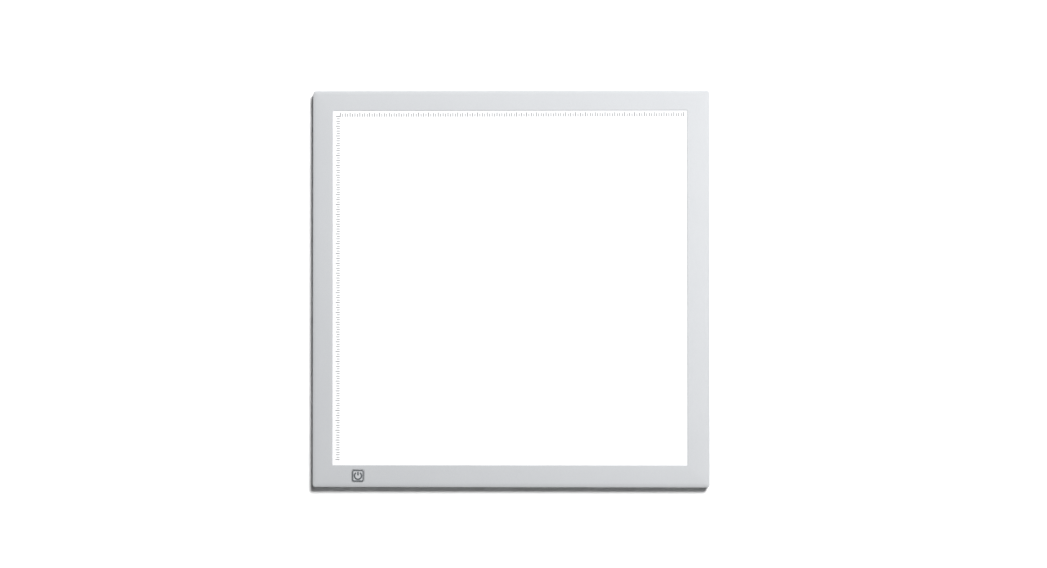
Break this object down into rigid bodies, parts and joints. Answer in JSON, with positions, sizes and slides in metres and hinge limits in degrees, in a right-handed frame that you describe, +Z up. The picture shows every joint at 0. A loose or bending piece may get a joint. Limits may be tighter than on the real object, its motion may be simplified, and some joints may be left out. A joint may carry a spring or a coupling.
{
  "type": "led light pad",
  "caption": "Slim square light pad with a silver frame, a lit opal drawing panel and a sprung power key in its front bar.",
  "frame": {"origin": "on the desk under the middle of the pad, at the sole of the middle foot", "axes": "+Z up out of the drawing panel, +X to the right and +Y to the rear bar, away from the bar with the power key"},
  "size_m": [0.404, 0.404, 0.0108],
  "materials": {
    "silver_frame": "satin silver paint on moulded plastic",
    "silver_key": "satin silver paint with a dark printed outline and power symbol",
    "opal_panel": "satin opal acrylic, lit from below",
    "clear_guide": "clear polished acrylic",
    "white_film": "matt white film",
    "foam": "closed-cell black foam",
    "strip_board": "white solder mask with white LED packages",
    "green_board": "green solder mask",
    "rail_aluminium": "extruded, plain",
    "black_plastic": "matt black",
    "white_nylon": "natural nylon",
    "pin_brass": "tinned",
    "red_wire": "satin insulation",
    "black_wire": "satin insulation",
    "grey_cover": "finely textured",
    "zinc_steel": "zinc plated",
    "rubber_feet": "matt"
  },
  "bodies": {
    "housing": {"top_frame": "silver_frame", "drawing_panel": "opal_panel", "panel_gasket": "foam", "diffuser_film": "white_film", "light_guide": "clear_guide", "reflector_film": "white_film", "left_led_strip": "strip_board", "right_led_strip": "strip_board", "left_heat_rail": "rail_aluminium", "right_heat_rail": "rail_aluminium", "tact_switch": "black_plastic", "control_board": "green_board", "power_plug": "white_nylon", "left_strip_plug": "white_nylon", "right_strip_plug": "white_nylon", "dc_jack": "black_plastic", "jack_pin": "pin_brass", "jack_lead_red": "red_wire", "jack_lead_black": "black_wire", "left_lead_red": "red_wire", "left_lead_black": "black_wire", "right_lead_red": "red_wire", "right_lead_black": "black_wire", "back_cover": "grey_cover", "cover_screw_1": "zinc_steel", "cover_screw_2": "zinc_steel", "cover_screw_3": "zinc_steel", "cover_screw_4": "zinc_steel", "cover_screw_5": "zinc_steel", "cover_screw_6": "zinc_steel", "cover_screw_7": "zinc_steel", "cover_screw_8": "zinc_steel", "board_screw_1": "zinc_steel", "board_screw_2": "zinc_steel", "foot_front_left": "rubber_feet", "foot_front_right": "rubber_feet", "foot_rear_left": "rubber_feet", "foot_rear_right": "rubber_feet", "foot_centre": "rubber_feet"},
    "key": {"power_key": "silver_key", "switch_plunger": "black_plastic"}
  },
  "joints": [
    {"name": "key_press", "type": "slide", "parent": "housing", "child": "key", "axis": [0, 0, -1], "range_m": [0, 0.0003], "stiffness_N_per_m": 1500, "springref_m": -0.0005}
  ]
}
